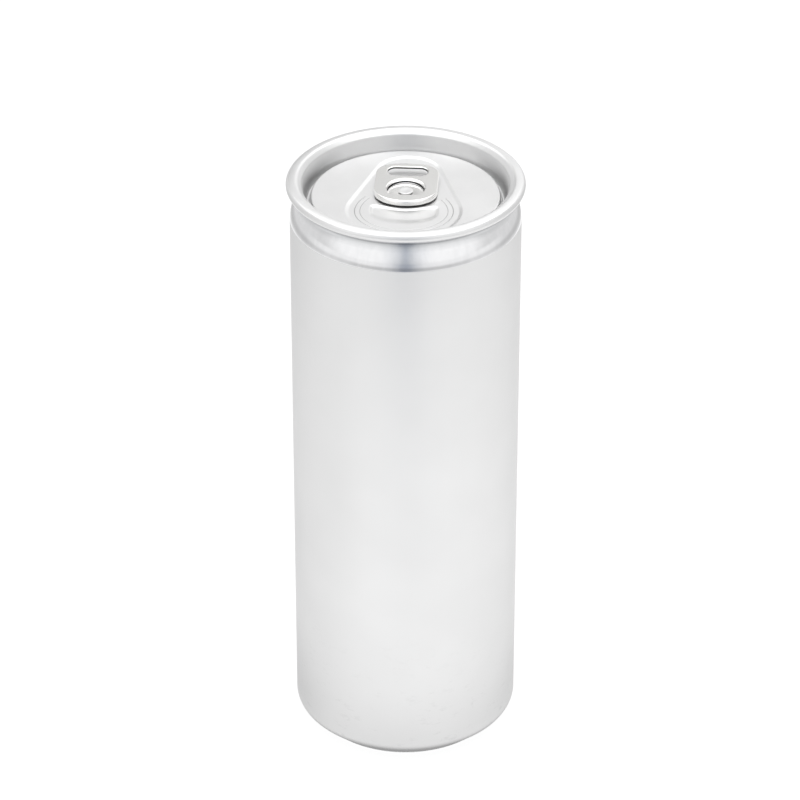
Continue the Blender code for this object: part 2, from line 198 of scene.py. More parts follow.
# The dark strip behind the camera: its tint, and its strength by the sine of the azimuth.
CAMERA_GAP = (0.53, 0.57, 0.64)
CAMERA_GAP_SHARES = ((0.0, 1.0), (0.07, 0.62), (0.15, 0.38), (0.26, 0.2), (0.42, 0.0))
FLOOR_GAP = (0.38, 0.41, 0.47)
FLOOR_GAP_SHARES = ((0.0, 1.0), (0.09, 0.85), (0.17, 0.5), (0.28, 0.2), (0.5, 0.0))
# The mirrored floor: its level at three distances from the can, with less at the middle
# one in front of the can.
FLOOR_START = (0.32, 0.98)
FLOOR_NEAR = (0.42, 0.72)
FLOOR_FAR = (0.85, 0.96)
FLOOR_FRONT_SHADE = 0.78
FLOOR_BESIDE = (0.25, -0.45, 0.78)      # cosines where it starts and is full, and its level
# The floor beside the can: its level, and at each side an azimuth, the cosines where
# the shade starts and is full, and its level.
FLOOR_WHITE = 1.11
FLOOR_SIDES = [(-112, 0.1, 0.9, 0.885), (112, 0.1, 0.9, 0.95)]
# The painted contact shadow at the can's foot, a dark ring that only mirrors see: radius and
# level where it is darkest and lightest.
CONTACT = ((24.0 * MM, 0.30), (33.0 * MM, 0.90))
CONTACT_FADE = 70 * MM          # where the floor is at its full level
CARD_HEIGHT = 1 * MM
CONTACT_HEIGHT = 0.3 * MM
FLOOR_REACH = 6.0
FLOOR_PAPER = 0.14
FLOOR_GLOW = 0.92
BACKDROP = 0.97                 # what the camera sees past the floor
SOFTBOX_PLACE = (0, 0.42, 1.6)
SOFTBOX_SIZE = (2.4, 2.38)
SOFTBOX_RADIANCE = 1.08


# ---------------------------------------------------------------- outlines

def arc(centre, radius, start, end, steps):
    """Points on an arc from angle start to angle end, both ends included."""
    points = []
    for i in range(steps + 1):
        angle = start + (end - start) * i / steps
        points.append((centre[0] + radius * math.cos(angle),
                       centre[1] + radius * math.sin(angle)))
    return points


def step(start, reach, angle):
    """The point at a distance and direction from start."""
    return start[0] + reach * math.cos(angle), start[1] + reach * math.sin(angle)


def circle(radius, steps=SEGMENTS):
    return arc((0, 0), radius, 0, math.tau * (steps - 1) / steps, steps - 1)


def belt(circles, steps):
    """Outline of a belt round circles (x, y, radius), listed anticlockwise."""
    normals = []
    for i, (x, y, radius) in enumerate(circles):
        next_x, next_y, next_radius = circles[(i + 1) % len(circles)]
        reach = math.hypot(next_x - x, next_y - y)
        heading = math.atan2(next_y - y, next_x - x)
        normals.append(heading - math.acos((radius - next_radius) / reach))
    points = []
    for i, (x, y, radius) in enumerate(circles):
        start = normals[i - 1]
        turn = (normals[i] - start) % math.tau
        points += arc((x, y), radius, start, start + turn, steps)
    return points


def teardrop(grow):
    front_y, front_radius = TEARDROP_FRONT
    back_y, back_radius = TEARDROP_BACK
    return belt([(0, front_y, front_radius + grow), (0, back_y, back_radius + grow)], 72)


def crescent(grow):
    half_length = CRESCENT_HALF_LENGTH + grow
    steps = 120
    points = []
    for i in range(steps):
        turn = math.tau * i / steps
        along = math.copysign(abs(math.cos(turn)) ** (2 / CRESCENT_POWER), math.cos(turn))
        across = math.copysign(abs(math.sin(turn)) ** (2 / CRESCENT_POWER), math.sin(turn))
        reach, swing = CRESCENT_BACK if across > 0 else CRESCENT_FRONT
        reach += grow if across > 0 else CRESCENT_FRONT_SOFTNESS * grow
        points.append((half_length * along,
                       CRESCENT_CENTRE_Y + swing * along ** 2 + reach * across))
    return points


def score_line(inset, half_gap, steps=150):
    """Closed outline of a score line, half_gap to each side of its course, which is
    an open oval drawn in by inset."""
    sides = []
    for grow in (half_gap - inset, -half_gap - inset):
        side = []
        for i in range(steps + 1):
            angle = SCORE_START + (SCORE_END - SCORE_START) * i / steps
            reach = SCORE_BACK if math.sin(angle) > 0 else SCORE_FRONT
            side.append(((SCORE_HALF_WIDTH + grow) * math.cos(angle),
                         SCORE_CENTRE_Y + (reach + grow) * math.sin(angle)))
        sides.append(side)
    return sides[0] + sides[1][::-1]


def rounded_end(half_width, tip_y, reach, power, steps):
    """Half outline of a tab's end, from its +X side round the tip to its -X side."""
    root_y = tip_y - math.copysign(reach, tip_y)
    points = []
    for i in range(steps + 1):
        angle = math.pi * i / steps
        across = math.copysign(abs(math.cos(angle)) ** (2 / power), math.cos(angle))
        along = abs(math.sin(angle)) ** (2 / power)
        points.append((half_width * across, root_y + (tip_y - root_y) * along))
    return points


def tab_outline(grow):
    half_width = TAB_HALF_WIDTH + TAB_EDGE_SIDES * grow
    heel = rounded_end(half_width, TAB_HEEL_Y + grow, TAB_HEEL_REACH + grow,
                       TAB_HEEL_POWER, 72)
    nose = rounded_end(half_width, TAB_NOSE_Y - grow, TAB_NOSE_REACH + grow,
                       TAB_NOSE_POWER, 72)
    return heel + nose[::-1]


def finger_hole(grow):
    end_x = HOLE_HALF_LENGTH - HOLE_HALF_WIDTH
    radius = HOLE_HALF_WIDTH + HOLE_EDGE_SIDES * grow
    y = HOLE_CENTRE_Y + (1 - HOLE_EDGE_SIDES) * grow
    points = []
    for i, (x, corner_y) in enumerate([(end_x, HOLE_CENTRE_Y), (end_x, y),
                                       (-end_x, y), (-end_x, HOLE_CENTRE_Y)]):
        points += arc((x, corner_y), radius, (i - 1) * math.pi / 2, i * math.pi / 2, 18)
    return points


def slot_window(grow):
    corner_x = SLOT_RADIUS - 2 * SLOT_CORNER
    corner_y = NOSE_BACK_Y + SLOT_CORNER
    corner = SLOT_CORNER + SLOT_EDGE_SIDES / 2 * grow
    return belt([(0, SLOT_CENTRE_Y + (1 - SLOT_EDGE_SIDES) * grow,
                  SLOT_RADIUS + SLOT_EDGE_SIDES * grow),
                 (-corner_x, corner_y, corner), (corner_x, corner_y, corner)], 32)


def island(grow):
    """Round island with a narrower hinge that runs forward under the nose."""
    radius = ISLAND_RADIUS + grow
    half_width = HINGE_HALF_WIDTH + grow
    meet = math.asin(half_width / radius)
    points = arc((0, ISLAND_CENTRE_Y), radius, meet - math.pi / 2, math.tau * 0.75 - meet, 90)
    end_y = NOSE_BACK_Y - HINGE_LAP
    return points + [(-half_width, end_y), (half_width, end_y)]


# ---------------------------------------------------------------- skins

class Skin:
    """A mesh built from loops of points, strips between them and flat fills."""

    def __init__(self):
        self.points = []
        self.faces = []
        self.marks = []

    def loop(self, outline, z):
        """Add an outline's points at height z. Gives their indices."""
        first = len(self.points)
        self.points += [(x, y, z) for x, y in outline]
        return list(range(first, len(self.points)))

    def strip(self, one, other, mark=0):
        """Quads from each point of one loop to the same point of another."""
        for i in range(len(one)):
            j = (i + 1) % len(one)
            self.faces.append((one[i], one[j], other[j], other[i]))
            self.marks.append(mark)

    def strips(self, loops, mark=0):
        for one, other in zip(loops, loops[1:]):
            self.strip(one, other, mark)

    def fill(self, outer, holes=(), up=True, mark=0):
        """Flat triangles inside a loop of indices and outside the holes."""
        used = list(outer)
        edges = [(i, (i + 1) % len(outer)) for i in range(len(outer))]
        for hole in holes:
            first = len(used)
            edges += [(first + i, first + (i + 1) % len(hole)) for i in range(len(hole))]
            used += hole
        flat = [Vector(self.points[i][:2]) / MM for i in used]
        points, _, faces, sources, _, _ = delaunay_2d_cdt(flat, edges, [], 1, 1e-6)
        outlines = [[flat[used.index(i)] for i in loop] for loop in (outer, *holes)]
        for face in faces:
            middle = sum((points[i] for i in face), Vector((0, 0))) / len(face)
            inside = [within(middle, outline) for outline in outlines]
            if not inside[0] or any(inside[1:]):
                continue
            corners = [used[sources[i][0]] for i in face]
            self.faces.append(corners if up else corners[::-1])
            self.marks.append(mark)

    def build(self, name, materials):
        """The finished piece, which rides on the part's one body."""
        mesh = bpy.data.meshes.new(name)
        mesh.from_pydata(self.points, [], self.faces)
        for one in materials:
            mesh.materials.append(one)
        mesh.polygons.foreach_set("material_index", self.marks)
        shell = bmesh.new()
        shell.from_mesh(mesh)
        bmesh.ops.recalc_face_normals(shell, faces=shell.faces)
        shell.to_mesh(mesh)
        shell.free()
        mesh.shade_smooth()
        made = bpy.data.objects.new(name, mesh)
        bpy.context.scene.collection.objects.link(made)
        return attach(made, "root")


def within(point, outline):
    """Whether a point is inside a closed outline."""
    inside = False
    x, y = point
    for (ax, ay), (bx, by) in zip(outline, outline[1:] + outline[:1]):
        if (ay > y) != (by > y) and x < ax + (y - ay) * (bx - ax) / (by - ay):
            inside = not inside
    return inside


def smooth_step(share):
    """0 to 1 with level ends, as share goes from 0 to 1."""
    return 0.5 - 0.5 * math.cos(math.pi * share)


def slope_loops(skin, outline, width, top, bottom, steps=10):
    """Loops of a soft slope that goes down inwards: from the outline grown by half the
    width at the top, to it drawn in by half the width at the bottom."""
    loops = [skin.loop(outline(width / 2 + SUPPORT), top)]
    for i in range(steps + 1):
        share = i / steps
        loops.append(skin.loop(outline(width * (0.5 - share)),
                               top + (bottom - top) * smooth_step(share)))
    loops.append(skin.loop(outline(-width / 2 - SUPPORT), bottom))
    return loops


def roll_loops(skin, outline, width, middle, half_height, sign, steps=8):
    """Loops of a rolled edge, from level flat on top over the edge to the underside.
    sign is 1 where the outline is the sheet's outer edge and -1 round an opening."""
    flat = -(width + SUPPORT) * sign
    loops = [skin.loop(outline(flat), middle + half_height)]
    for i in range(2 * steps + 1):
        angle = math.pi / 2 - math.pi * i / (2 * steps)
        grow = -width * (1 - math.cos(angle)) * sign
        loops.append(skin.loop(outline(grow), middle + half_height * math.sin(angle)))
    return loops + [skin.loop(outline(flat), middle - half_height)]


# ---------------------------------------------------------------- materials

def add_node(tree, kind, inputs=None, **settings):
    """Add a node. Its inputs are given as values, or as sockets to link."""
    node = tree.nodes.new(kind)
    for key, value in settings.items():
        setattr(node, key, value)
    for key, value in (inputs or {}).items():
        if isinstance(value, bpy.types.NodeSocket):
            tree.links.new(value, node.inputs[key])
        else:
            node.inputs[key].default_value = value
    return node


class Nodes:
    """A material's node tree, with short ways to add nodes and links."""

    def __init__(self, name):
        self.material = bpy.data.materials.new(name)
        self.material.use_nodes = True
        self.tree = self.material.node_tree
        self.shader = self.tree.nodes["Principled BSDF"]
        self.shader.inputs["Metallic"].default_value = 1
        self.place = self.add("ShaderNodeTexCoord").outputs["Object"]

    def add(self, kind, inputs=None, **settings):
        return add_node(self.tree, kind, inputs, **settings)

    def noise(self, scale, stretch=(1, 1, 1), detail=3.0, roughness=0.55):
        """Noise over the object's own coordinates, stretched along its axes."""
        mapping = self.add("ShaderNodeMapping", {"Vector": self.place, "Scale": stretch})
        made = self.add("ShaderNodeTexNoise",
                        {"Vector": mapping.outputs[0], "Scale": scale, "Detail": detail,
                         "Roughness": roughness})
        return made.outputs["Fac"]

    def ramp(self, value, low, high, start=0.0, end=1.0):
        """Maps value from the range start..end to low..high."""
        made = self.add("ShaderNodeMapRange",
                        {"Value": value, "From Min": start, "From Max": end,
                         "To Min": low, "To Max": high})
        return made.outputs["Result"]

    def maths(self, operation, one, other):
        made = self.add("ShaderNodeMath", {0: one, 1: other}, operation=operation)
        return made.outputs[0]

    def colour(self, value, dark, light):
        """Colour from dark to light as value goes from 0 to 1."""
        made = self.add("ShaderNodeMix",
                        {"Factor": value, "A": (*dark, 1), "B": (*light, 1)},
                        data_type="RGBA")
        self.tree.links.new(made.outputs["Result"], self.shader.inputs["Base Color"])

    def height(self):
        return self.add("ShaderNodeSeparateXYZ", {"Vector": self.place}).outputs["Z"]

    def finish(self, roughness, height, distance, strength):
        """The finished material, with its roughness and a bump from height."""
        bump = self.add("ShaderNodeBump", {"Height": height, "Strength": strength,
                                           "Distance": distance})
        self.tree.links.new(roughness, self.shader.inputs["Roughness"])
        self.tree.links.new(bump.outputs[0], self.shader.inputs["Normal"])
        return self.material


def satin_wall():
    """Drawn and ironed wall under a satin coat: fine upright streaks, soft clouding and
    faint scuffs near the base."""
    made = Nodes("satin_wall")
    streaks = made.noise(1, (900, 900, 6), 4, 0.6)
    clouds = made.noise(38, detail=2)
    scuffs = made.noise(1, (260, 260, 520), 5, 0.7)
    made.shader.inputs["Specular Tint"].default_value = (0.8, 0.8, 0.8, 1)
    near_base = made.ramp(made.height(), 1, 0, *SCUFF_HEIGHTS)
    marks = made.maths("MULTIPLY", made.ramp(scuffs, 0, 1, *SCUFF_NOISE), near_base)
    tone = made.maths("SUBTRACT", made.ramp(clouds, 0.7, 1.0, 0.3, 0.7),
                      made.maths("MULTIPLY", marks, 0.5))
    made.colour(tone, (0.70, 0.70, 0.70), (0.81, 0.81, 0.81))
    roughness = made.maths("ADD", made.ramp(streaks, 0.36, 0.42),
                           made.maths("MULTIPLY", marks, 0.08))
    return made.finish(roughness, streaks, 0.004 * MM, 0.5)


def bare_neck():
    """Bright bare metal of the necked-in top, with painted shade up under the curl."""
    made = Nodes("bare_neck")
    streaks = made.noise(1, (700, 700, 25), 3)
    # Painted shade: the neck's colour darkens up under the curl.
    start, full = NECK_SHADE_DROPS
    unshaded_neck = made.ramp(made.height(), 1, 0, CAN_HEIGHT - start, CAN_HEIGHT - full)
    tone = made.maths("MULTIPLY", made.ramp(streaks, 0.85, 1.0, 0.3, 0.7), unshaded_neck)
    made.colour(tone, (0.55, 0.56, 0.57), (0.89, 0.89, 0.90))
    return made.finish(made.ramp(streaks, 0.10, 0.15), made.noise(60, detail=2), 0.01 * MM, 0.3)


def base_metal():
    """Dull bare metal under the base, faintly stained."""
    made = Nodes("base_metal")
    stain = made.noise(90, detail=4)
    made.colour(stain, (0.74, 0.74, 0.75), (0.83, 0.83, 0.83))
    return made.finish(made.ramp(stain, 0.26, 0.38), made.noise(900, detail=2), 0.004 * MM, 0.4)


def end_sheet():
    """Rolled end stock: long fine grain along one way and a soft lacquer. The chuck wall
    has painted shade at its two sides, full low down and fading out towards the rim."""
    made = Nodes("end_sheet")
    grain = made.noise(1, (180, 2600, 2600), 4, 0.6)
    clouds = made.noise(120, detail=2)
    x = made.add("ShaderNodeSeparateXYZ", {"Vector": made.place}).outputs["X"]
    level = made.add("ShaderNodeVectorMath", {0: made.place, 1: (1, 1, 0)},
                     operation="MULTIPLY")
    radius = made.add("ShaderNodeVectorMath", {0: level.outputs[0]}, operation="LENGTH")
    # Painted shade: the wall outside the panel darkens low down and at its two sides.
    beyond = made.ramp(radius.outputs["Value"], 0, 1, CHUCK_BASE_RADIUS - CHUCK_SHADE_EDGE,
                       CHUCK_BASE_RADIUS)
    start, full = CHUCK_SHADE_DROPS
    below = made.ramp(made.height(), 1, 0, CAN_HEIGHT - start, CAN_HEIGHT - full)
    wall = made.maths("MULTIPLY", beyond, below)
    across = made.ramp(made.maths("ABSOLUTE", x, 0), 0, 1, *CHUCK_SHADE_SIDES)
    unshaded_chuck = made.maths("SUBTRACT", 1, made.maths("MULTIPLY", wall, across))
    tone = made.maths("MULTIPLY", made.ramp(clouds, 0.9, 1, 0.3, 0.7), unshaded_chuck)
    made.colour(tone, (0.47, 0.47, 0.47), (0.81, 0.81, 0.81))
    return made.finish(made.ramp(grain, 0.36, 0.44), grain, 0.002 * MM, 0.35)


def score_and_rivet_shade():
    """Dark dull metal: painted shade in the scored lines, round the rivet's foot and under its
    head.
    """
    made = Nodes("score_and_rivet_shade")
    grain = made.noise(900, detail=2)
    made.colour(grain, (0.42, 0.42, 0.42), (0.55, 0.55, 0.55))
    return made.finish(made.ramp(grain, 0.4, 0.55), grain, 0.002 * MM, 0.3)


def tab_sheet():
    """Tab stock: rolled grain, a little warmer and duller than the end."""
    made = Nodes("tab_sheet")
    grain = made.noise(1, (2600, 220, 2600), 4, 0.6)
    clouds = made.noise(240, detail=3)
    made.colour(clouds, (0.88, 0.875, 0.86), (0.93, 0.925, 0.91))
    return made.finish(made.ramp(grain, 0.20, 0.28), grain, 0.002 * MM, 0.4)


def tab_underside():
    """The tab's bare underside, bright and never touched."""
    made = Nodes("tab_underside")
    grain = made.noise(1, (2600, 220, 2600), 3)
    made.colour(grain, (0.94, 0.94, 0.93), (0.97, 0.97, 0.96))
    return made.finish(made.ramp(grain, 0.22, 0.32), grain, 0.002 * MM, 0.3)


def tab_painted_shade():
    """Painted shade under the tab's edges, where the sheet rolls under: near black and dull."""
    made = Nodes("tab_painted_shade")
    stain = made.noise(700, detail=3)
    made.colour(stain, (0.02, 0.02, 0.02), (0.05, 0.05, 0.05))
    return made.finish(made.ramp(stain, 0.45, 0.6), stain, 0.005 * MM, 0.4)


# ---------------------------------------------------------------- body

def base_profile():
    """From the wall's foot round the heel, down the leg, over the stand ring, and up
    to the middle of the dome."""
    outer_x = STAND_RADIUS + STAND_FLAT / 2
    inner_x = STAND_RADIUS - STAND_FLAT / 2
    stand_end = LEG_SLOPE - math.pi / 2
    leg_foot = (outer_x + STAND_ROUND * math.cos(stand_end),
                STAND_ROUND + STAND_ROUND * math.sin(stand_end))
    heel_x = BODY_RADIUS - HEEL_ROUND
    heel_end_x = heel_x + HEEL_ROUND * math.cos(stand_end)
    heel_end_z = leg_foot[1] + (heel_end_x - leg_foot[0]) * math.tan(LEG_SLOPE)
    heel_z = heel_end_z - HEEL_ROUND * math.sin(stand_end)

    points = arc((heel_x, heel_z), HEEL_ROUND, 0, stand_end, 14)
    points += arc((outer_x, STAND_ROUND), STAND_ROUND, stand_end, -math.pi / 2, 8)
    inner_round = inner_x - DOME_LEG_RADIUS
    points += arc((inner_x, inner_round), inner_round, -math.pi / 2, -math.pi, 8)

    rise = DOME_DEPTH - DOME_LEG_TOP
    dome_radius = (DOME_LEG_RADIUS ** 2 + rise ** 2) / (2 * rise)
    dome_centre_z = DOME_DEPTH - dome_radius
    corner_x = DOME_LEG_RADIUS - DOME_CORNER
    corner_z = dome_centre_z + math.sqrt((dome_radius - DOME_CORNER) ** 2 - corner_x ** 2)
    meet = math.atan2(corner_z - dome_centre_z, corner_x)
    points += arc((corner_x, corner_z), DOME_CORNER, 0, meet, 8)
    points += arc((0, dome_centre_z), dome_radius, meet, math.pi / 2, DOME_STEPS)[1:-1]
    return points


def shoulder_profile():
    """From the flange's edge down its underside, the neck and the shoulder."""
    base_drop = FLANGE_DROP + FLANGE_SHEET
    edge = FLANGE_SHEET / 2
    points = arc((FLANGE_RADIUS - edge, -FLANGE_DROP - edge), edge,
                 math.pi / 2, -math.pi / 2, 8)
    points += arc((NECK_RADIUS + FLANGE_ROUND, -base_drop - FLANGE_ROUND), FLANGE_ROUND,
                  math.pi / 2, math.pi, 10)[1:]
    shoulder = (BODY_RADIUS - SHOULDER_ROUND, -SHOULDER_DROP)
    shoulder_end_x = shoulder[0] + SHOULDER_ROUND * math.cos(SHOULDER_SLOPE)
    shoulder_end_z = shoulder[1] + SHOULDER_ROUND * math.sin(SHOULDER_SLOPE)
    neck_x = NECK_RADIUS + NECK_ROUND
    slope_top_x = neck_x - NECK_ROUND * math.cos(SHOULDER_SLOPE)
    slope_top_z = shoulder_end_z + (shoulder_end_x - slope_top_x) / math.tan(SHOULDER_SLOPE)
    neck_z = slope_top_z + NECK_ROUND * math.sin(SHOULDER_SLOPE)
    points += arc((neck_x, neck_z), NECK_ROUND, math.pi, math.pi + SHOULDER_SLOPE, 10)
    satin = math.asin((SHOULDER_DROP - SATIN_DROP) / SHOULDER_ROUND)
    points += arc(shoulder, SHOULDER_ROUND, SHOULDER_SLOPE, satin, 16)
    points += arc(shoulder, SHOULDER_ROUND, satin, 0, 3)[1:]
    return [(x, CAN_HEIGHT + z) for x, z in points]


def make_body():
    skin = Skin()
    bore = NECK_RADIUS - FLANGE_SHEET
    satin_z = CAN_HEIGHT - SATIN_DROP
    profile = [(bore, satin_z), (bore, CAN_HEIGHT - FLANGE_DROP - FLANGE_ROUND)]
    profile += shoulder_profile()
    profile += [(BODY_RADIUS, z) for z in WALL_RINGS]
    profile += base_profile()
    loops = [skin.loop(circle(radius), z) for radius, z in profile]
    skin.fill(loops[0])
    for one, other, (radius, z) in zip(loops, loops[1:], profile[1:]):
        if z > satin_z - 0.001 * MM:
            mark = 1
        elif z < BASE_METAL_TOP or radius < STAND_RADIUS:
            mark = 2
        else:
            mark = 0
        skin.strip(one, other, mark)
    tip = len(skin.points)
    skin.points.append((0, 0, DOME_DEPTH))
    for i, j in zip(loops[-1], loops[-1][1:] + loops[-1][:1]):
        skin.faces.append((i, j, tip))
        skin.marks.append(2)
    made = skin.build("can_body", [satin_wall(), bare_neck(), base_metal()])
    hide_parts("body")


# ---------------------------------------------------------------- lid

def rim_profile():
    """The lid's skin from the panel's edge out to the curl, then back under the curl."""
    wall_radius = CHUCK_BASE_RADIUS - 2 * GROOVE_ROUND
    corner = (wall_radius - PANEL_CORNER, -PANEL_DROP - PANEL_CORNER)
    groove = (wall_radius + GROOVE_ROUND, -GROOVE_DROP + GROOVE_ROUND)
    up = math.pi / 2
    inner = (RIM_RADIUS, -RIM_INNER_ROUND)
    cone_end = step(step(inner, RIM_INNER_ROUND, up + RIM_CONE_SLOPE), RIM_CONE,
                    math.pi + RIM_CONE_SLOPE)
    chuck = step(cone_end, -CHUCK_ROUND, up + RIM_CONE_SLOPE)
    outer = (RIM_RADIUS, -RIM_OUTER_ROUND)
    curl = step(outer, RIM_OUTER_ROUND - CURL_ROUND, up - RIM_TILT)
    curl = (CURL_RADIUS - CURL_ROUND, curl[1])

    # The chuck wall touches the groove and the round above it, on opposite sides.
    across, rise = chuck[0] - groove[0], chuck[1] - groove[1]
    reach = math.hypot(across, rise)
    lean = math.atan2(across, rise) - math.asin((GROOVE_ROUND + CHUCK_ROUND) / reach)
    points = [(corner[0] - SUPPORT, -PANEL_DROP)]
    points += arc(corner, PANEL_CORNER, up, 0, 8)
    points += arc(groove, GROOVE_ROUND, math.pi, math.tau - lean, 14)
    points += arc(chuck, CHUCK_ROUND, math.pi - lean, up + RIM_CONE_SLOPE, 8)
    points += arc(inner, RIM_INNER_ROUND, up + RIM_CONE_SLOPE, up, 10)
    points += arc(outer, RIM_OUTER_ROUND, up, up - RIM_TILT, 8)[1:]
    points += arc(curl, CURL_ROUND, up - RIM_TILT, CURL_END, 24)[1:]
    below = CURL_ROUND - LID_SHEET
    points += arc(curl, below, CURL_END, up - RIM_TILT, 16)
    points += arc(inner, RIM_INNER_ROUND - LID_SHEET, up, up + RIM_CONE_SLOPE, 6)
    points += arc(chuck, CHUCK_ROUND - LID_SHEET, up + RIM_CONE_SLOPE, math.pi - lean, 6)
    return [(x, CAN_HEIGHT + z) for x, z in points]


def make_lid():
    skin = Skin()
    loops = [skin.loop(circle(radius), z) for radius, z in rim_profile()]
    skin.strips(loops)
    panel_z = CAN_HEIGHT - PANEL_DROP
    floor_z = panel_z - TEARDROP_DEPTH

    tear = slope_loops(skin, teardrop, TEARDROP_SLOPE, panel_z, floor_z, 14)
    skin.fill(loops[0], [tear[0]])
    skin.strips(tear)

    dish = slope_loops(skin, crescent, CRESCENT_SLOPE, floor_z, floor_z - CRESCENT_DEPTH)
    skin.strips(dish)
    skin.fill(dish[-1])

    scores = []
    for inset, half_gap, depth in SCORE_LINES:
        edge = [skin.loop(score_line(inset, half_gap + SUPPORT), floor_z),
                skin.loop(score_line(inset, half_gap), floor_z),
                skin.loop(score_line(inset, half_gap * SCORE_FLOOR_SHARE), floor_z - depth)]
        skin.strips(edge[:2])
        # The score's walls and floor take the dark metal: painted shade in the groove.
        skin.strips(edge[1:], mark=1)
        skin.fill(edge[-1], mark=1)
        scores.append(edge[0])

    boss = [skin.loop(circle(RIVET_BOSS_RADIUS + SUPPORT, 72), floor_z),
            skin.loop(circle(RIVET_BOSS_RADIUS, 72), floor_z)]
    for share in (0.25, 0.5, 0.75, 1):
        radius = RIVET_BOSS_RADIUS + (RIVET_STEM_RADIUS - RIVET_BOSS_RADIUS) * share
        boss.append(skin.loop(circle(radius, 72),
                              floor_z + RIVET_BOSS_HEIGHT * smooth_step(share)))
    head_z = CAN_HEIGHT - RIVET_TOP_DROP
    half = RIVET_HEAD_THICKNESS / 2
    edge = (RIVET_HEAD_RADIUS - half, head_z - half)
    boss.append(skin.loop(circle(RIVET_STEM_RADIUS, 72), head_z - RIVET_HEAD_THICKNESS))
    for radius, z in arc(edge, half, -math.pi / 2, math.pi / 2, 10):
        boss.append(skin.loop(circle(radius, 72), z))
    under = len(boss) - 6
    for share in (0.8, 0.55, 0.3, 0.1):
        boss.append(skin.loop(circle(edge[0] * share, 72),
                              head_z - RIVET_DENT * smooth_step(1 - share)))
    # The boss, stem and lower half of the rivet's head take the dark metal: painted shade round
    # its foot and under the head.
    skin.strips(boss[:under + 1], mark=1)
    skin.strips(boss[under:])
    skin.fill(boss[-1])
    skin.fill(tear[-1], [dish[0], *scores, boss[0]])
    made = skin.build("can_end", [end_sheet(), score_and_rivet_shade()])
    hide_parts("lid")


# ---------------------------------------------------------------- tab

def add_dimple(skin, side, top):
    """A dimple pressed up from the island, at one end of the hinge. Gives its foot."""
    loops = []
    for share in (1, 0.8, 0.6, 0.4, 0.2):
        outline = [(side * DIMPLE_PLACE[0] + DIMPLE_STRETCH * x, DIMPLE_PLACE[1] + y)
                   for x, y in circle(DIMPLE_RADIUS * share, 24)]
        loops.append(skin.loop(outline, top + DIMPLE_HEIGHT * smooth_step(1 - share)))
    skin.strips(loops)
    skin.fill(loops[-1])
    return loops[0]


def make_tab():
    skin = Skin()
    half = TAB_THICKNESS / 2
    middle = CAN_HEIGHT - TAB_TOP_DROP - half
    edge = roll_loops(skin, tab_outline, TAB_EDGE, middle, half, 1)
    hole = roll_loops(skin, finger_hole, HOLE_EDGE, middle, half, -1)
    slot = roll_loops(skin, slot_window, SLOT_EDGE, middle, half, -1)
    # Between each pair of loops listed for it, an edge has painted shade; past them the
    # underside is bright.
    for loops, (dark, light) in ((edge, TAB_EDGE_SHADE), (hole, HOLE_EDGE_SHADE),
                                 (slot, SLOT_EDGE_SHADE)):
        skin.strips(loops[:dark])
        skin.strips(loops[dark - 1:light], mark=1)
        skin.strips(loops[light - 1:], mark=2)
    skin.fill(edge[0], [hole[0], slot[0]])
    skin.fill(edge[-1], [hole[-1], slot[-1]], up=False, mark=2)

    # The underside rises towards the heel, and the top stays level.
    start, end = TAB_TAPER
    for i, (x, y, z) in enumerate(skin.points):
        share = min(max((y - start) / (end - start), 0), 1)
        thinning = (1 - TAB_HEEL_SHARE) * smooth_step(share)
        skin.points[i] = (x, y, z + (middle + half - z) * thinning)

    top = CAN_HEIGHT - ISLAND_TOP_DROP
    rim = [skin.loop(island(0), top - ISLAND_THICKNESS)]
    for share in (0, 0.25, 0.5, 0.75, 1):
        inset = ISLAND_RIM * share
        height = ISLAND_RIM_HEIGHT * math.cos(math.pi / 2 * share)
        rim.append(skin.loop(island(-inset), top + height))
    rim.append(skin.loop(island(-ISLAND_RIM - SUPPORT), top))
    skin.strips(rim)
    skin.fill(rim[0], up=False)
    dimples = [add_dimple(skin, side, top) for side in (-1, 1)]
    skin.fill(rim[-1], dimples)
    made = skin.build("can_tab", [tab_sheet(), tab_painted_shade(), tab_underside()])
    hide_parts("tab")


# ---------------------------------------------------------------- studio

def turned(x, y):
    """A place given across and away from the camera, in the model's frame."""
    return (x * math.cos(TURN) - y * math.sin(TURN),
            x * math.sin(TURN) + y * math.cos(TURN))


def make_softbox():
    """A softbox that faces straight down, of an even brightness over its face."""
    x, y, z = SOFTBOX_PLACE
    width, height = SOFTBOX_SIZE
    data = bpy.data.lights.new("softbox_top", "AREA")
    data.shape = "RECTANGLE"
    data.size = width
    data.size_y = height
    data.energy = SOFTBOX_RADIANCE * math.pi * width * height
    made = bpy.data.objects.new("softbox_top", data)
    made.location = (*turned(x, y), z)
    made.rotation_euler.z = TURN
    made.visible_camera = False
    bpy.context.scene.collection.objects.link(made)


